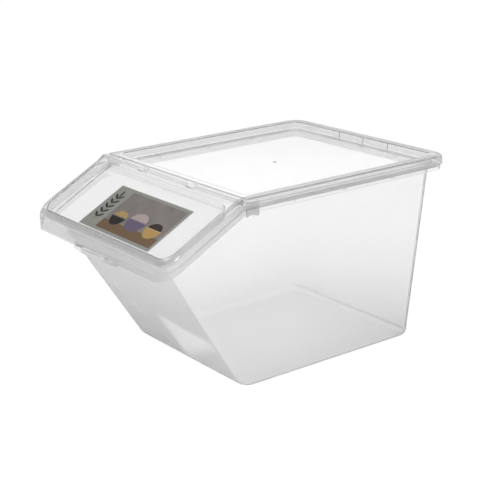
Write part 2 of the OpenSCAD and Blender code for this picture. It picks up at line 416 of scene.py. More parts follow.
def copy_to(obj, dx, dy):
    """A copy with a mesh of its own, moved along X and Y."""
    make_active(obj)
    bpy.ops.object.duplicate(linked=False)
    bpy.ops.transform.translate(value=(dx * MM, dy * MM, 0))
    bpy.ops.object.transform_apply(location=True, rotation=False, scale=False)
    return bpy.context.object


def combine(obj, other, operation):
    """Adds the other piece to obj, or cuts it out, and deletes the other."""
    apply_modifier(obj, "BOOLEAN", object=other, operation=operation, solver="EXACT")
    bpy.data.objects.remove(other)


def smooth(obj):
    """Smooth shading over the roundings, with flat faces kept flat."""
    make_active(obj)
    bpy.ops.object.shade_smooth_by_angle(angle=math.radians(35))
    apply_modifier(obj, "WEIGHTED_NORMAL", keep_sharp=True, weight=80)


# %% Tub: gussets
GUSSET_T = 1.8
GUSSET_GAP = 1
gusset_z = (RIM_Z - LIP_H + 1, RIM_Z - WALL_T / 2)
side_x = (MOUTH_HALF - WALL_T / 2, lip_half - WALL_T - GUSSET_GAP)
rear_y = (MOUTH_REAR - WALL_T / 2, lip_rear - WALL_T - GUSSET_GAP)
side_gusset = block(
    "gusset", (side_x[0], -GUSSET_T / 2, gusset_z[0]), (side_x[1], GUSSET_T / 2, gusset_z[1])
)
rear_gusset = block(
    "gusset", (-GUSSET_T / 2, rear_y[0], gusset_z[0]), (GUSSET_T / 2, rear_y[1], gusset_z[1])
)
far_side = -sum(side_x)
gusset_list = []
for step in (1, 2, 3):
    y = HINGE_Y + step * (MOUTH_REAR - HINGE_Y) / 4
    gusset_list += [copy_to(side_gusset, 0, y), copy_to(side_gusset, far_side, y)]
    gusset_list.append(copy_to(rear_gusset, MOUTH_HALF * (step / 2 - 1), 0))
bpy.data.objects.remove(side_gusset)
bpy.data.objects.remove(rear_gusset)
combine(tub, join(gusset_list), "UNION")
smooth(tub)
measure(tub)

# %% [markdown]
# ## The lid
# The real lid is a shallow tray hung in a flat rim, with a short skirt outside that reaches over
# the tub's flange. Clear mouldings have a soft radius at every bend, so the tray, the rim and
# the skirt are one skin whose ring edges are bevelled before it gets its wall.

# %% Lid: tray, rim and skirt
LID_SKIRT_H = 15.2
LID_FRONT = HINGE_Y + CLIP_R + 1
TRAY_FRONT = LID_FRONT + 15
TRAY_Z = TOP_Z - TRAY_DEPTH
TRAY_CORNER_R = 14
SKIRT_FRONT_R, SKIRT_REAR_R = 5, 27
PANEL_BEND_R = 4
INNER_BEND_R = 2.2
LID_BEND_R = 3.6


def on_top(p):
    return abs(p.z - TOP_Z) < 0.02


lid = rounded_sheet(
    "lid_shell", MOUTH_HALF, TRAY_FRONT, MOUTH_REAR, TRAY_CORNER_R, TRAY_CORNER_R, TRAY_Z
)
raise_sheet(TRAY_DEPTH)
delete_faces(lid, on_top)
pick(lid, "EDGE", lambda p: p.z < TRAY_Z + 0.1)
round_edges(PANEL_BEND_R, 5)
skirt = rounded_sheet("skirt", HALF_W, LID_FRONT, REAR_Y, SKIRT_FRONT_R, SKIRT_REAR_R, TOP_Z)
bpy.ops.mesh.select_all(action="SELECT")
bpy.ops.mesh.delete(type="ONLY_FACE")
lid = join([lid, skirt])
edit(lid)
at_tray = lambda p: abs(p.x) < MOUTH_HALF + 1 and TRAY_FRONT - 1 < p.y < MOUTH_REAR + 1
bridge_level(lid, on_top, lambda p: not at_tray(p))
pick(lid, "EDGE", lambda p: on_top(p) and not at_tray(p))
drop_edges(LID_SKIRT_H)
face_up(lid, lambda p: p.z < TRAY_Z + 1 and abs(p.x) < MOUTH_HALF)
round_rings(lid, on_top, LID_BEND_R, 5, lambda p: not at_tray(p))
round_rings(lid, on_top, INNER_BEND_R, 4, at_tray)
thicken(lid, LID_T)
measure(lid)

# %% [markdown]
# Three kinds of small parts are moulded on to the lid: three snap pads on the tray's rear wall,
# a clip tab at each front corner that grips under the flange, and two hinge clips that the
# flap's rod snaps into. Each is a plain block or bar that Booleans shape further, which suits
# small parts with flat faces better than a skin does.

# %% Lid: snap pads
PAD_XS, PAD_W, PAD_DEPTH = (-61, 0, 61), 17, 1.6
pads = [
    block(
        "snap_pad",
        (x - PAD_W / 2, MOUTH_REAR - PAD_DEPTH, TRAY_Z - LID_T / 2),
        (x + PAD_W / 2, MOUTH_REAR + LID_T / 2, TOP_Z - LID_T / 2),
    )
    for x in PAD_XS
]
for pad in pads:
    edit(pad)
    pick(pad, "EDGE", lambda p: p.y < MOUTH_REAR - 1)
    round_edges(0.7, 2)
print(f"{len(pads)} snap pads at x {PAD_XS}")


# %% Lid: clip tabs
def bar(name, x0, x1, y, z, radius, vertices=48):
    """A round bar along X."""
    deselect_all()
    bpy.ops.mesh.primitive_cylinder_add(
        vertices=vertices,
        radius=radius * MM,
        depth=(x1 - x0) * MM,
        location=((x0 + x1) / 2 * MM, y * MM, z * MM),
        rotation=(0, math.pi / 2, 0),
    )
    return settle(name)


TAB_L, TAB_H, TAB_TIP, TAB_ARCH, TAB_ROOT = 23, 27.5, 5, 2.5, 6
tab_z = TOP_Z - TAB_H
tab_rear = LID_FRONT + TAB_L
tab = block(
    "clip_tab",
    (HALF_W - LID_T, LID_FRONT, tab_z),
    (HALF_W, tab_rear, TOP_Z - LID_SKIRT_H + TAB_ROOT),
)
edit(tab)
pick(tab, "EDGE", lambda p: p.y > tab_rear - 0.1 and p.z < tab_z + 0.1)
round_edges(TAB_TIP / 2, 4)
pick(tab, "EDGE", lambda p: p.y < LID_FRONT + 0.1 and p.z < tab_z + 0.1)
round_edges(1.5, 3)
arch_w = TAB_L - TAB_TIP
arch_r = (arch_w**2 / 4 + TAB_ARCH**2) / (2 * TAB_ARCH)
arch_y, arch_z = LID_FRONT + arch_w / 2, tab_z + TAB_ARCH - arch_r
arch = bar("arch", HALF_W - 5, HALF_W + 5, arch_y, arch_z, arch_r, vertices=160)
combine(tab, arch, "DIFFERENCE")
far_tab = copy_to(tab, LID_T - 2 * HALF_W, 0)
combine(lid, join(pads + [tab, far_tab]), "UNION")
measure(lid)

# %% [markdown]
# A hinge clip is a round bar on a foot, bored for the rod and slotted below, so that the rod
# can snap in. The gate's mark is the dimple where the plastic entered the mould, in the middle
# of the tray: a small sphere, cut out of its floor.

# %% Lid: hinge clips
CLIP_W, CLIP_X = 12, 68
BORE_GAP = 0.3
SLOT_W, SLOT_ANGLE = 4.5, math.radians(235)
clip = bar("hinge_clip", -CLIP_W / 2, CLIP_W / 2, HINGE_Y, HINGE_Z, CLIP_R, vertices=64)
foot = block(
    "clip_foot",
    (-CLIP_W / 2, HINGE_Y, HINGE_Z - CLIP_R),
    (CLIP_W / 2, LID_FRONT + LID_T / 2, TOP_Z),
)
combine(clip, foot, "UNION")
bore = bar("bore", -CLIP_W, CLIP_W, HINGE_Y, HINGE_Z, ROD_R + BORE_GAP)
combine(clip, bore, "DIFFERENCE")
deselect_all()
slot_y = HINGE_Y + CLIP_R * math.cos(SLOT_ANGLE)
slot_z = HINGE_Z + CLIP_R * math.sin(SLOT_ANGLE)
bpy.ops.mesh.primitive_cube_add(
    size=1, location=(0, slot_y * MM, slot_z * MM), rotation=(SLOT_ANGLE, 0, 0)
)
bpy.context.object.scale = (2 * CLIP_W * MM, 2 * CLIP_R * MM, SLOT_W * MM)
combine(clip, settle("slot"), "DIFFERENCE")
for x in (-CLIP_X, CLIP_X):
    combine(lid, copy_to(clip, x, 0), "UNION")
bpy.data.objects.remove(clip)
measure(lid)

# %% Lid: gate mark
GATE_R, GATE_LIFT = 2.6, 1.4
gate_y = (TRAY_FRONT + MOUTH_REAR) / 2
deselect_all()
bpy.ops.mesh.primitive_uv_sphere_add(
    segments=32,
    ring_count=24,
    radius=GATE_R * MM,
    location=(0, gate_y * MM, (TRAY_Z + GATE_LIFT) * MM),
)
combine(lid, settle("gate_mark"), "DIFFERENCE")
smooth(lid)
measure(lid)

# %% [markdown]
# ## The flap
# The real flap covers the sloped mouth of the tub. It is a skin like the lid: a recessed panel,
# a rim round it and a deep skirt at the sides and the front, whose upper edge is generously
# rounded. It could be modelled level and turned, but its skirt stands upright, so two upright
# prisms are cut by the sloped planes and bridged at the rim.

# %% Flap: recess, rim and skirt
FLAP_RIM_W = 14.5
FLAP_SKIRT_H = 26
FLAP_EDGE = HINGE_Y - 2 * ROD_R / 3
RECESS_HALF = HALF_W - FLAP_RIM_W
RECESS_FRONT = FRONT_Y + FLAP_RIM_W - 1.5
RECESS_BACK = HINGE_Y - 16 * SLOPE_COS
RECESS_CORNER_R = 18
FLAP_FRONT_R, FLAP_REAR_R = 30, 1
FLAP_BEND_R = 6.5
PRISM_H = 400


def on_flap(p):
    return abs(p.z - flap_top(p.y)) < 0.03


hinge_line = (0, HINGE_Y, TOP_Z)
flap = rounded_sheet(
    "flap_shell", RECESS_HALF, RECESS_FRONT, RECESS_BACK, RECESS_CORNER_R, RECESS_CORNER_R, 0
)
raise_sheet(PRISM_H)
cut(hinge_line, SLOPE_UP, clear_above=True)
cut((0, HINGE_Y, TOP_Z - RECESS_DEPTH), SLOPE_UP, clear_below=True, fill=True)
pick(flap, "EDGE", lambda p: abs(p.z - flap_top(p.y) + RECESS_DEPTH) < 0.03)
round_edges(PANEL_BEND_R, 5)
front_skirt = rounded_sheet(
    "flap_skirt", HALF_W, FRONT_Y, FLAP_EDGE, FLAP_FRONT_R, FLAP_REAR_R, 0
)
raise_sheet(PRISM_H)
cut(hinge_line, SLOPE_UP, clear_above=True)
cut((0, HINGE_Y, TOP_Z - FLAP_SKIRT_H), SLOPE_UP, clear_below=True)
flap = join([flap, front_skirt])
edit(flap)
at_recess = lambda p: abs(p.x) < RECESS_HALF + 1 and RECESS_FRONT - 1 < p.y < RECESS_BACK + 1
bridge_level(flap, on_flap, lambda p: not at_recess(p))
bpy.ops.mesh.select_mode(type="FACE")
bpy.ops.mesh.select_all(action="DESELECT")
mesh = bmesh.from_edit_mesh(flap.data)
for face in mesh.faces:
    points = [v.co / MM for v in face.verts]
    at_rear = min(p.y for p in points) > FLAP_EDGE - FLAP_REAR_R - 0.1
    if at_rear and not all(on_flap(p) for p in points):
        face.select_set(True)
bmesh.update_edit_mesh(flap.data)
bpy.ops.mesh.delete(type="FACE")
face_up(flap, lambda p: abs(p.x) < 100 and p.y > RECESS_FRONT)
round_rings(flap, on_flap, FLAP_BEND_R, 7, lambda p: not at_recess(p))
round_rings(flap, on_flap, INNER_BEND_R, 4, at_recess)
thicken(flap, FLAP_T)
measure(flap)

# %% [markdown]
# A curled lip in the middle of the front skirt is the finger pull. It is a slice of a wide cone
# about an upright axis, so that it runs out smoothly into the skirt at both ends.

# %% Flap: finger lip
PULL_W, PULL_OUT, PULL_DROP, PULL_RISE = 126, 6.9, 4, 6
PULL_REACH = 20
cone_r = (PULL_W**2 / 4 + PULL_OUT**2) / (2 * PULL_OUT)
skirt_z = flap_top(FRONT_Y) - FLAP_SKIRT_H
axis_y = FRONT_Y + cone_r - PULL_OUT
deselect_all()
bpy.ops.mesh.primitive_cone_add(
    vertices=360,
    radius1=cone_r * MM,
    radius2=(cone_r - PULL_OUT) * MM,
    depth=(PULL_DROP + PULL_RISE) * MM,
    end_fill_type="NOTHING",
    location=(0, axis_y * MM, (skirt_z + (PULL_RISE - PULL_DROP) / 2) * MM),
)
pull = settle("finger_lip")
edit(pull)
for side in (-1, 1):
    cut((side * PULL_W / 2, 0, 0), (side, 0, 0), clear_above=True)
cut((0, FRONT_Y + PULL_REACH, 0), (0, 1, 0), clear_above=True)
bpy.ops.mesh.select_all(action="SELECT")
bpy.ops.mesh.normals_make_consistent(inside=False)
mesh = bmesh.from_edit_mesh(pull.data)
mesh.faces.ensure_lookup_table()
if mesh.faces[0].normal.y > 0:
    bpy.ops.mesh.flip_normals()
thicken(pull, FLAP_T)
measure(pull)
combine(flap, pull, "UNION")

# %% [markdown]
# Ribs stiffen the channel under the front rim. Each is a block that the flap's own planes trim.

# %% Flap: ribs
RIB_T = 1.4
RIB_FIRST, RIB_STEP = 30, 26
RIB_LOW, RIB_HIGH = 180, 300
rib_top, rib_foot = TOP_Z - PANEL_T / 2, TOP_Z - RECESS_DEPTH - PANEL_T / 2
ribs = []
for step in range(3):
    x = HALF_W - RIB_FIRST - RIB_STEP * step
    for centre in (-x, x):
        rib = block(
            "rib",
            (centre - RIB_T / 2, FRONT_Y + FLAP_T / 2, RIB_LOW),
            (centre + RIB_T / 2, RECESS_FRONT - FLAP_T / 2, RIB_HIGH),
        )
        edit(rib)
        cut((0, HINGE_Y, rib_top), SLOPE_UP, clear_above=True, fill=True)
        cut((0, HINGE_Y, rib_foot), SLOPE_UP, clear_below=True, fill=True)
        ribs.append(rib)
combine(flap, join(ribs), "UNION")
measure(flap)

# %% [markdown]
# A rod along the rear edge snaps into the lid's clips. A lug at each end carries it, and three
# bars, the knuckles, cover it and leave gaps for the clips. The rod is added last, after wide
# notches are cut at the clips, so that it runs bare through them.

# %% Flap: lugs and knuckles
LUG_R = 2.5
lug_z = HINGE_Z - LUG_R
lug = block(
    "rod_lug", (HALF_W - FLAP_T, FLAP_EDGE - 2, skirt_z), (HALF_W, HINGE_Y + ROD_R, lug_z)
)
edit(lug)
cut((0, HINGE_Y, TOP_Z - FLAP_SKIRT_H), SLOPE_UP, clear_below=True, fill=True)
pick(lug, "EDGE", lambda p: p.y > HINGE_Y + ROD_R - 0.1 and p.z > lug_z - 0.5)
round_edges(LUG_R, 4)
combine(flap, copy_to(lug, FLAP_T - 2 * HALF_W, 0), "UNION")
combine(flap, lug, "UNION")
ROD_END = HALF_W - 2.4
KNUCKLE_GAP, KNUCKLE_R = 7, 1.2
knuckle_rear, knuckle_top = HINGE_Y + ROD_R + 0.4, TOP_Z - 0.6
knuckles = []
for x0, x1 in (
    (-ROD_END, -CLIP_X - KNUCKLE_GAP),
    (-CLIP_X + KNUCKLE_GAP, CLIP_X - KNUCKLE_GAP),
    (CLIP_X + KNUCKLE_GAP, ROD_END),
):
    knuckle = block("knuckle", (x0, HINGE_Y - ROD_R, lug_z), (x1, knuckle_rear, knuckle_top))
    edit(knuckle)
    bpy.ops.mesh.select_all(action="SELECT")
    round_edges(KNUCKLE_R, 3)
    knuckles.append(knuckle)
combine(flap, join(knuckles), "UNION")
measure(flap)

# %% Flap: rod
rod = bar("rod", -ROD_END, ROD_END, HINGE_Y, HINGE_Z, ROD_R)
NOTCH_HALF, NOTCH_R = CLIP_W / 2 + 0.6, CLIP_R + 3
for x in (-CLIP_X, CLIP_X):
    notch = bar("notch", x - NOTCH_HALF, x + NOTCH_HALF, HINGE_Y, HINGE_Z, NOTCH_R)
    combine(flap, notch, "DIFFERENCE")
combine(flap, rod, "UNION")
smooth(flap)
measure(flap)

# %% [markdown]
# ## The label card
# A printed card lies loose on the panel in the flap's recess. A plane would do for a picture,
# but a thin block with rounded corners has an edge and a back too, which the clear flap shows.
# It is modelled level and turned to the slope. Its print is drawn by the material further down.

# %% Label card
LABEL_W, LABEL_T, LABEL_X, LABEL_MARGIN = 202, 0.4, 9, 14.3
panel_front = FRONT_Y + FLAP_RIM_W
card_l = (RECESS_BACK - panel_front) / SLOPE_COS - 2 * LABEL_MARGIN
card_y = (panel_front + RECESS_BACK) / 2
card_z = flap_top(card_y) - RECESS_DEPTH
label = rounded_sheet("label_card_print", LABEL_W / 2, -card_l / 2, card_l / 2, 1, 1, 0, 3)
raise_sheet(LABEL_T)
bpy.ops.mesh.select_all(action="SELECT")
bpy.ops.mesh.normals_make_consistent(inside=False)
make_active(label)
label.rotation_euler = (SLOPE_ANGLE, 0, 0)
label.location = (LABEL_X * MM, card_y * MM, card_z * MM)
bpy.ops.object.transform_apply(location=True, rotation=True, scale=True)
measure(label)

# %% [markdown]
# ## Shader maths
# Materials are node trees. Masks in them are sums and comparisons, which take many Math nodes.
# So one small class wraps a socket, and its operators add those nodes: a mask can be written as
# a Python expression. A second class adds every other node and links or sets its sockets.


# %% Shader tools: values
class Value:
    """A socket that Python's operators work on; each operator adds a Math node."""

    def __init__(self, tree, socket):
        self.tree, self.socket = tree, socket

    def math(self, operation, *operands):
        node = self.tree.node("ShaderNodeMath", {"operation": operation})
        for socket, value in zip(node.inputs, operands):
            self.tree.feed(socket, value)
        return Value(self.tree, node.outputs[0])

    def __add__(self, other):
        return self.math("ADD", self, other)

    def __sub__(self, other):
        return self.math("SUBTRACT", self, other)

    def __rsub__(self, other):
        return self.math("SUBTRACT", other, self)

    def __mul__(self, other):
        return self.math("MULTIPLY", self, other)

    def __truediv__(self, other):
        return self.math("DIVIDE", self, other)

    def __gt__(self, other):
        return self.math("GREATER_THAN", self, other)

    def __lt__(self, other):
        return self.math("LESS_THAN", self, other)

    def absolute(self):
        return self.math("ABSOLUTE", self)

    def power(self, exponent):
        return self.math("POWER", self, exponent)

    def larger(self, other):
        return self.math("MAXIMUM", self, other)

    def smaller(self, other):
        return self.math("MINIMUM", self, other)

    __radd__ = __add__


# %% Shader tools: trees
class Tree:
    """A node tree that is empty at first."""

    def __init__(self, owner):
        owner.use_nodes = True
        self.nodes, self.links = owner.node_tree.nodes, owner.node_tree.links
        self.nodes.clear()

    def feed(self, socket, value):
        if isinstance(value, Value):
            self.links.new(value.socket, socket)
        elif isinstance(value, bpy.types.NodeSocket):
            self.links.new(value, socket)
        else:
            socket.default_value = value

    def node(self, kind, settings=None, inputs=None):
        """Adds a node: its settings are set first, then its sockets' values or links."""
        node = self.nodes.new(kind)
        for key, value in (settings or {}).items():
            setattr(node, key, value)
        for key, value in (inputs or {}).items():
            self.feed(node.inputs[key], value)
        return node

    def value(self, kind, settings=None, inputs=None, output=0):
        return Value(self, self.node(kind, settings, inputs).outputs[output])

    def parts(self, vector):
        """The three parts of a vector."""
        split = self.node("ShaderNodeSeparateXYZ", {}, {0: vector})
        return [Value(self, output) for output in split.outputs]

    def shader(self, kind, inputs):
        """Adds a node and gives its first output."""
        return self.node(kind, {}, inputs).outputs[0]

    def ramp(self, value, start, end):
        """0 before start, 1 after end, and smooth between them."""
        settings = {"interpolation_type": "SMOOTHSTEP"}
        return self.value("ShaderNodeMapRange", settings, {0: value, 1: start, 2: end})

    def mix_colour(self, factor, first, second):
        node = self.node("ShaderNodeMix", {"data_type": "RGBA"}, {0: factor, 6: first, 7: second})
        return node.outputs[2]

    def mix_shader(self, factor, first, second):
        return self.shader("ShaderNodeMixShader", {0: factor, 1: first, 2: second})


def grey(level):
    return (level, level, level, 1)


# %% [markdown]
# ## Clear plastic
# The box is moulded in a clear plastic that is a little milky: it passes light, mirrors the
# bright studio at a low angle and scatters some of the light itself, which hides what is
# behind two or three walls. So each finish mixes glass with a thin share of scattering plastic.
#
# One function makes all three finishes, and places on the piece steer it. A piece is a clear
# wall or panel with a rim round it, on which painted shade makes the rim greyer, and its top
# greyer than its skirt. Painted shade darkens the walls towards the floor, the bends get a
# painted thin dark line where they turn away from the eye, and a few small parts have a
# painted shade or more milk of their own.

# %% Places on the plastic
GATE_SHADE_R, TAB_SHADE = 3.2, 0.3
CLIP_ZONE_X, CLIP_ZONE_Y, CLIP_ZONE_Z, CLIP_HAZE = 8, 6, 8, 1.6
RIB_ZONE_H, RIB_INSET, RIB_SIDE_INSET, RIB_TOP_INSET = 13.4, 2.4, 27, 2.6


def in_zone(x, y, height, half, y0, y1, z1=1000):
    """1 inside an upright box, which ends at the height z1."""
    across = x.absolute() < half
    along = (y - (y0 + y1) / 2).absolute() < (y1 - y0) / 2
    return across * along * (height < z1)


def gate_and_tabs(x, y, height):
    """Painted shade: the gate mark in the tray dark, and the clip tabs a little darker than the
    skirt.
    """
    from_gate = x * x + (y - gate_y) * (y - gate_y)
    gate = (from_gate < GATE_SHADE_R**2) * (height > TRAY_Z - 3)
    tabs = (x.absolute() > HALF_W - 3) * (y < tab_rear + 1) * (height < TOP_Z - 5)
    return gate.larger(tabs * TAB_SHADE)


def clips_at_hinge(x, y, height):
    """The two clips, and the rod inside them, scatter more light."""
    across = (x.absolute() - CLIP_X).absolute() < CLIP_ZONE_X
    along = (y - HINGE_Y).absolute() < CLIP_ZONE_Y
    return across * along * (height > HINGE_Z - CLIP_ZONE_Z) * CLIP_HAZE


def ribs_in_channel(x, y, height):
    """The ribs scatter more light too: they are all that stands in the front channel."""
    under_rim = (y - HINGE_Y) * SLOPE + TOP_Z - RIB_TOP_INSET
    along = (y > FRONT_Y + RIB_INSET) * (y < RECESS_FRONT - RIB_INSET)
    ribs = along * (x.absolute() < HALF_W - RIB_SIDE_INSET)
    ribs = ribs * (height < under_rim) * (height > under_rim - RIB_ZONE_H)
    return ribs + clips_at_hinge(x, y, height)


def nowhere(x, y, height):
    return x * 0


# %% [markdown]
# The finish itself has two parts. The glass has a grey of its own, and painted shade greys it on
# the rim, towards the floor and in the bends, and darkens it where it turns away, as a thick edge
# of clear plastic looks. The milk is matt plastic mixed with translucent plastic; painted shade
# greys it towards the floor, and painted lines make it nearly black where it turns away. A Mix
# Shader takes a small share of milk. A volume inside the walls would scatter light too, but it
# renders slowly and can't be baked.

# %% Clear plastic finish
FLOOR_SKIN_Z = WALL_T + 3
RIM_TOP_SKIN = 2.2
REAR_BEND_SHADE_Z = 6.5
# Greys of the glass's painted shade; the milk's grey, painted shade and painted lines; the
# shadow.
FLOOR_SHADE_DARKER, BEND_SHADE_GREY, REAR_BEND_SHADE_GREY, SHADE_GREY = 0.23, 0.82, 0.5, 0.15
MILK_TOP, MILK_FLOOR_SHADE, LINE_GREY, SHADOW_GREY = 0.99, 0.82, 0.03, 0.84
# Painted dark lines and shade start and are full at these turns away from the eye, of which 1 is
# edge-on.
OUTLINE, LINE, BEND_LINE = (0.5, 0.95), (0.72, 0.9), (0.5, 0.72)


def clear_plastic(
    name, roughness, wall_zone, milk, tint_and_shade, edge, rim_plane, dark=nowhere, milky_at=nowhere
):
    """A clear wall or panel with a rim round it.

    wall_zone is the box that holds the wall, for in_zone. milk is the share that scatters and
    edge the painted shade where the plastic turns away, each for the wall and the rim. The
    argument after milk has greys: the wall's own, and the painted shade of the rim's skirt and of
    the rim's top. rim_plane has two heights: that of the sloped rim's plane at the hinge, and
    that of the level rim. dark and milky_at are masks, and dark marks painted shade.
    """
    rim_at_hinge, rim_level = rim_plane
    material = bpy.data.materials.new(name)
    tree = Tree(material)
    where = tree.node("ShaderNodeTexCoord").outputs["Object"]
    x, y, height = (part / MM for part in tree.parts(where))

    # Where on the piece a point is.
    depth = (1 - height / RIM_Z).larger(0)
    above_floor = height > FLOOR_SKIN_Z
    is_wall = in_zone(x, y, height, *wall_zone)
    rim_top = ((y - HINGE_Y) * SLOPE + rim_at_hinge).smaller(rim_level)
    is_top = height > rim_top - RIM_TOP_SKIN
    from_side = MOUTH_HALF - depth * WALL_LEAN - x.absolute()
    from_rear = MOUTH_REAR - depth * WALL_LEAN - y
    low_bend = (height < FLOOR_BEND_R) * (from_side.smaller(from_rear) < FLOOR_BEND_R)
    upright_bend = (from_side.larger(from_rear) < CORNER_R + WALL_T) * (depth > 0.03)
    # Painted shade: a darker line along the rear bend, above the floor.
    rear_bend_shade = (height > REAR_BEND_SHADE_Z) * (from_rear < FLOOR_BEND_R)
    small_parts = milky_at(x, y, height)

    # The glass: its own grey, with painted shade on the rim, towards the floor, in the bends and
    # where it turns away from the eye.
    # Painted shade: the walls grow darker towards the floor, less so on the floor itself.
    floor_fade = above_floor * 0.4 + 0.6
    floor_shade_grey = grey(tint_and_shade[0] - FLOOR_SHADE_DARKER)
    wall_tint_and_shade = tree.mix_colour(depth.power(3) * floor_fade, grey(tint_and_shade[0]), floor_shade_grey)
    # Painted shade in the bends, darker along the rear bend.
    bend_shade = tree.mix_colour(rear_bend_shade, grey(BEND_SHADE_GREY), grey(REAR_BEND_SHADE_GREY))
    wall_tint_and_shade = tree.mix_colour(low_bend, wall_tint_and_shade, bend_shade)
    # Painted shade: the rim's skirt grey, and its top greyer.
    rim_shade = tree.mix_colour(is_top, grey(tint_and_shade[1]), grey(tint_and_shade[2]))
    zone_tint_and_shade = tree.mix_colour(is_wall, rim_shade, wall_tint_and_shade)
    # Painted shade on the gate mark and the clip tabs.
    zone_tint_and_shade = tree.mix_colour(dark(x, y, height), zone_tint_and_shade, grey(SHADE_GREY))
    # Painted shade where the glass turns away from the eye.
    facing = tree.value("ShaderNodeLayerWeight", {}, {"Blend": 0.5}, 1)
    outline = tree.ramp(facing, *OUTLINE) * floor_fade
    shade = outline * (edge[1] + is_wall * (edge[0] - edge[1]))
    flow = tree.value("ShaderNodeTexNoise", {}, {"Vector": where, "Scale": 9, "Detail": 2})
    grain = tree.value("ShaderNodeTexNoise", {}, {"Vector": where, "Scale": 420, "Detail": 3})
    bump = {"Strength": 0.04, "Distance": 0.002, "Height": flow}
    ripple = tree.shader("ShaderNodeBump", bump)
    glass = {
        "Base Color": tree.mix_colour(shade, zone_tint_and_shade, grey(0)),
        "Transmission Weight": 1.0,
        "IOR": 1.5,
        "Roughness": roughness + (grain - 0.5) * 0.01,
        "Normal": ripple,
    }
    glass = tree.shader("ShaderNodeBsdfPrincipled", glass)

    # The milk: pale, with painted shade that greys it towards the floor, and painted lines that
    # make it almost black where it turns away.
    bend_line = tree.ramp(facing, *BEND_LINE) * low_bend.larger(upright_bend)
    line = (tree.ramp(facing, *LINE) * 0.7).larger(bend_line * 0.8)
    line = line * (1 - small_parts).larger(0)
    milk_and_shade = tree.mix_colour(depth, grey(MILK_TOP), grey(MILK_FLOOR_SHADE))
    milk_and_shade = tree.mix_colour(line, milk_and_shade, grey(LINE_GREY))
    body = {"Base Color": milk_and_shade, "Roughness": 0.35, "IOR": 1.5, "Normal": ripple}
    body = tree.shader("ShaderNodeBsdfPrincipled", body)
    through = tree.shader("ShaderNodeBsdfTranslucent", {"Color": grey(0.9)})
    milky = tree.mix_shader(0.6, body, through)

    # Both together. Shadow rays pass straight through, a little dimmed.
    share = milk[1] + is_wall * (milk[0] - milk[1])
    share = share * (above_floor * 0.5 + 0.5) + line + small_parts * 0.35
    plastic = tree.mix_shader(share, glass, milky)
    shadow = tree.node("ShaderNodeLightPath").outputs["Is Shadow Ray"]
    open_air = tree.shader("ShaderNodeBsdfTransparent", {"Color": grey(SHADOW_GREY)})
    surface = tree.mix_shader(shadow, plastic, open_air)
    tree.node("ShaderNodeOutputMaterial", {}, {"Surface": surface})
    print(f"{name}: {len(tree.nodes)} nodes")
    return material


# %% The three plastics
tub_plastic = clear_plastic(
    "tub_plastic_clear", 0.08, (HALF_W, FRONT_Y - 10, REAR_Y, RIM_Z - LIP_H - 1),
    milk=(0.10, 0.12), tint_and_shade=(1.0, 0.96, 0.72), edge=(0.7, 0.4),
    rim_plane=(sloped_rim(HINGE_Y), RIM_Z),
)
lid_plastic = clear_plastic(
    "lid_plastic_clear", 0.015, (MOUTH_HALF + 3, LID_FRONT - 15, MOUTH_REAR + 3),
    milk=(0.05, 0.13), tint_and_shade=(1.0, 0.75, 0.60), edge=(0.0, 0.5),
    rim_plane=(TOP_Z, TOP_Z), dark=gate_and_tabs, milky_at=clips_at_hinge,
)
flap_plastic = clear_plastic(
    "flap_plastic_clear", 0.015, (RECESS_HALF + 3, RECESS_FRONT - 1, HINGE_Y + 10),
    milk=(0.06, 0.12), tint_and_shade=(0.87, 0.78, 0.50), edge=(0.0, 0.5),
    rim_plane=(TOP_Z, TOP_Z), milky_at=ribs_in_channel,
)

# %% [markdown]
# ## Printed card
# The card has a generic print with no words: a grey ground, a dusky field on which three bowls
# of grain stand on a shelf, and a plain sprig of leaves beside it. It could be an image, but
# masks made from the place on the card, in millimetres from its middle, need no file and stay
# sharp.

# %% Card masks
card = bpy.data.materials.new("printed_card_matt")
tree = Tree(card)
on_card = {
    "Vector": tree.node("ShaderNodeTexCoord").outputs["Object"],
    "Location": (LABEL_X * MM, card_y * MM, card_z * MM),
    "Rotation": (SLOPE_ANGLE, 0, 0),
    "Scale": (MM, MM, MM),
}
on_card = tree.node("ShaderNodeMapping", {"vector_type": "TEXTURE"}, on_card).outputs[0]
card_x, card_v, card_up = tree.parts(on_card)
half_w, half_l = LABEL_W / 2, card_l / 2
paper = tree.value("ShaderNodeTexNoise", {}, {"Vector": on_card, "Scale": 1.5, "Detail": 4})
cloud = tree.value("ShaderNodeTexNoise", {}, {"Vector": on_card, "Scale": 0.04, "Detail": 3})
grains = {"Vector": on_card, "Scale": 0.4, "Randomness": 0.9}
grains = tree.value("ShaderNodeTexVoronoi", {}, grains)


def within(x0, x1, y0, y1):
    """A mask that is 1 inside a rectangle of the card."""
    across = (card_x - (x0 + x1) / 2).absolute() < (x1 - x0) / 2
    return across * ((card_v - (y0 + y1) / 2).absolute() < (y1 - y0) / 2)


def oval(x, y, long, wide, degrees=0):
    """A mask that is 1 inside a turned ellipse of the card."""
    c, s = math.cos(math.radians(degrees)), math.sin(math.radians(degrees))
    dx, dy = card_x - x, card_v - y
    along, across = (dx * c + dy * s) / long, (dy * c - dx * s) / wide
    return (along * along + across * across) < 1


print(f"card {LABEL_W} by {card_l:.1f} mm")

# %% [markdown]
# The print is painted from the back to the front: each shape's mask mixes its colour over what
# is there. Fine noise roughens the paper, and a Voronoi texture makes the grains.

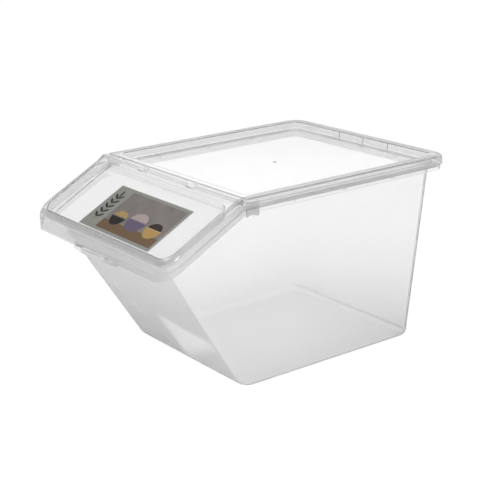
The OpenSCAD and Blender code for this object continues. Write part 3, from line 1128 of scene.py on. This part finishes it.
# %% Card print: ground and bowls
FIELD_LEFT, FIELD_RIGHT, FIELD_MARGIN = -58, 95, 6
SHELF_V, BOWL_BASE_V = -22, -28
OCHRE = (0.46, 0.31, 0.12, 1)
BLACK = (0.012, 0.010, 0.009, 1)
ground = tree.mix_colour(paper, (0.215, 0.217, 0.196, 1), (0.27, 0.27, 0.246, 1))
low, high = FIELD_MARGIN - half_l, half_l - FIELD_MARGIN
dusk = tree.mix_colour(cloud, (0.24, 0.215, 0.20, 1), (0.12, 0.108, 0.10, 1))
ground = tree.mix_colour(within(FIELD_LEFT, FIELD_RIGHT, low, high), ground, dusk)
shelf = tree.mix_colour(paper, (0.10, 0.055, 0.03, 1), (0.17, 0.115, 0.065, 1))
ground = tree.mix_colour(within(FIELD_LEFT, FIELD_RIGHT, low, SHELF_V), ground, shelf)
for x, size, bowl, grain in (
    (-30, 19, BLACK, OCHRE),
    (17, 24, (0.105, 0.085, 0.135, 1), (0.46, 0.37, 0.36, 1)),
    (66, 20, (0.36, 0.23, 0.08, 1), (0.03, 0.02, 0.015, 1)),
):
    level = size + BOWL_BASE_V
    foot = within(x - size * 0.4, x + size * 0.4, BOWL_BASE_V + 1, BOWL_BASE_V + 8)
    heap = oval(x, level, size * 0.86, size * 0.62) * (card_v > level)
    speckled = tree.mix_colour(grains, grain, tree.mix_colour(0.5, grain, grey(0.02)))
    ground = tree.mix_colour(heap, ground, speckled)
    ground = tree.mix_colour(foot, ground, bowl)
    ground = tree.mix_colour(oval(x, level, size, size) * (card_v < level), ground, bowl)
    glaze = tree.mix_colour(0.75, grey(0.45), bowl)
    ground = tree.mix_colour(within(x - size, x + size, level - 2, level), ground, glaze)
print(f"{card.name}: {len(tree.nodes)} nodes with the bowls")

# %% Card print: sprig and border
BORDER = 0.8
STEM_X = -79.5
sprig = within(STEM_X - 0.5, STEM_X + 0.5, -32, 24).larger(oval(STEM_X, 31, 2.4, 7))
for step in range(5):
    for side in (-1, 1):
        sprig = sprig.larger(oval(STEM_X + side * 6, -20 + 11 * step, 7, 2.4, side * 38))
ground = tree.mix_colour(sprig, ground, (0.022, 0.022, 0.018, 1))
inside = within(BORDER - half_w, half_w - BORDER, BORDER - half_l, half_l - BORDER)
ground = tree.mix_colour(1 - inside, ground, grey(0.4))
ground = tree.mix_colour(card_up > LABEL_T / 2, (0.30, 0.29, 0.27, 1), ground)
matt = {"Base Color": ground, "Roughness": 0.6 + paper * 0.12, "Specular IOR Level": 0.15}
surface = tree.shader("ShaderNodeBsdfPrincipled", matt)
tree.node("ShaderNodeOutputMaterial", {}, {"Surface": surface})
print(f"{card.name}: {len(tree.nodes)} nodes")

# %% [markdown]
# ## Hand the pieces to the frame
# Each piece takes its finish, rides on a CAD body, so that it moves with the joints, and stands
# for the CAD solid of the same shape.

# %% Bodies and finishes
for piece, body, node, slot, material in (
    (tub, "box", "tub", "tub_plastic", tub_plastic),
    (lid, "lid", "top_lid", "lid_plastic", lid_plastic),
    (flap, "flap", "front_flap", "flap_plastic", flap_plastic),
    (label, "flap", "label_card", "printed_card", card),
):
    piece.data.materials.clear()
    piece.data.materials.append(material)
    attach(piece, body)
    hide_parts(node)
    print(f"{piece.name} rides on {body} and stands for {node}")

# %% [markdown]
# ## Studio
# The box stands on a plain floor that rays from the camera, and rays through the plastic, see
# as white with a share of real shading, so that it keeps a soft shadow. Reflections see a
# darker floor, a painted shade, with one painted bright wedge of light on it, which the front
# wall mirrors as a painted reflection. A real studio would need flags and cards for that, and a
# material that knows the kind of ray does it all.


# %% Floor: plane and rays
def ray_kinds(tree):
    """Masks for rays from the camera, sharp rays, and sharp rays that pass through."""
    path = tree.node("ShaderNodeLightPath")
    kinds = ("Is Camera Ray", "Is Glossy Ray", "Is Transmission Ray")
    camera_ray, sharp, passing = (Value(tree, path.outputs[kind]) for kind in kinds)
    return camera_ray, sharp, sharp * passing


scene = bpy.context.scene
deselect_all()
bpy.ops.mesh.primitive_plane_add(size=16, location=(0, 0, -0.0005))
floor = bpy.context.object
floor.name = "studio_floor"
floor_finish = bpy.data.materials.new("studio_floor_white")
tree = Tree(floor_finish)
camera_ray, sharp_ray, through_ray = ray_kinds(tree)
mirror_ray = sharp_ray - through_ray
print(f"{floor.name}: {floor.dimensions.x:.0f} m wide")

# %% Floor: finish
spot = tree.parts(tree.node("ShaderNodeTexCoord").outputs["Object"])
spot_x, spot_y = (part / MM for part in spot[:2])
# The painted light wedge lies between two straight edges that meet in a tip, and fades out at its
# wide end.
wedge = tree.ramp(spot_y - spot_x * 0.031, -149, -145)
wedge = wedge * tree.ramp(spot_y - spot_x * 0.315, -108, -114)
wedge = wedge * tree.ramp(spot_x + spot_y * 1.7, -160, -240)
# The floor glows a little more through the plastic, and less in mirror reflections as painted
# shade, except on the painted light wedge, which glows brighter there.
glow = 1.06 + through_ray * 0.15 - mirror_ray * (0.25 - wedge * 2)
white = tree.shader("ShaderNodeEmission", {"Color": grey(1), "Strength": glow})
matt = tree.shader("ShaderNodeBsdfDiffuse", {"Color": grey(0.95)})
share = camera_ray * 0.9 + through_ray * 0.6 + mirror_ray * 0.4
surface = tree.mix_shader(share, matt, white)
tree.node("ShaderNodeOutputMaterial", {}, {"Surface": surface})
floor.data.materials.append(floor_finish)
print(f"{floor.name}: {len(tree.nodes)} nodes")

# %% [markdown]
# The world is white to the camera and plain grey to soft rays. Sharp rays see a dark room with
# bright panels in it: a backdrop behind the box, a ceiling, and a low ring all round. Clear
# plastic shows little but reflections, and the dark gaps between the panels draw its edges.

# %% World
world = bpy.data.worlds.new("studio")
scene.world = world
tree = Tree(world)
camera_ray, sharp_ray, through_ray = ray_kinds(tree)
east, north, up = tree.parts(tree.node("ShaderNodeTexCoord").outputs["Generated"])
BACK_EAST, BACK_NORTH = -0.81, 0.587
DARK = 0.15
# up is 0 at the horizon and 1 straight overhead.
backdrop = tree.ramp(north * BACK_NORTH + east * BACK_EAST, 0.15, 0.5) * tree.ramp(up, 0.85, 0.6)
ceiling = tree.ramp(up, 0.75, 0.9)
ring = tree.ramp(up, 0.5, 0.35)
horizon = tree.ramp(up, 0.16, 0.06) * through_ray
panels = backdrop.larger(ceiling).larger(ring) * (1.3 - through_ray * 0.3)
room = panels.larger(horizon) * (1 - DARK) + DARK
plain, studio, white = (
    tree.shader("ShaderNodeBackground", {"Color": grey(1), "Strength": strength})
    for strength in (0.62, room, 1)
)
lit = tree.mix_shader(sharp_ray, plain, studio)
surface = tree.mix_shader(camera_ray, lit, white)
tree.node("ShaderNodeOutputWorld", {}, {"Surface": surface})
print(f"{world.name}: {len(tree.nodes)} nodes")

# %% [markdown]
# Two soft lamps add the rest: a large one over the box, for its shadow, and a small one at the
# front right, for highlights.

# %% Lamps
AIM = Vector((0, 0, 0.15))
for name, place_at, energy, size in (
    ("softbox_top", (-0.5, -0.5, 2.1), 5, 1.0),
    ("softbox_key", (0.75, -0.55, 0.85), 4.8, 0.3),
):
    bpy.ops.object.light_add(type="AREA", location=place_at)
    lamp = bpy.context.object
    lamp.name = name
    lamp.rotation_euler = (Vector(place_at) - AIM).to_track_quat("Z", "Y").to_euler()
    lamp.data.energy = energy
    lamp.data.size = size
    lamp.visible_camera = False
    print(f"{name}: {energy} W, {size} m wide, aimed at the box")

# %% [markdown]
# ## Camera
# A long lens from the front right, a little above the box. Its focal length is given in
# pixels of the picture, which fills the width of the sensor.

# %% Camera
TURN, TILT, ROLL = (math.radians(a) for a in (54.07, 17.43, -1.58))
FOCAL_PX, PICTURE_PX, SENSOR_MM = 1206.5, 480, 36
bpy.ops.object.camera_add(location=(1.52965, -1.10908, 0.77476))
camera = bpy.context.object
aimed = Euler((math.pi / 2 - TILT, 0, TURN)).to_matrix()
camera.rotation_euler = (aimed @ Matrix.Rotation(ROLL, 3, "Z")).to_euler()
camera.data.lens = FOCAL_PX / PICTURE_PX * SENSOR_MM
camera.data.sensor_width = SENSOR_MM
scene.camera = camera
scene.view_settings.view_transform = "Standard"
scene.cycles.use_denoising = True
scene.cycles.max_bounces = 20
scene.cycles.transmission_bounces = 20
scene.cycles.transparent_max_bounces = 32
print(f"camera lens {camera.data.lens:.1f} mm")
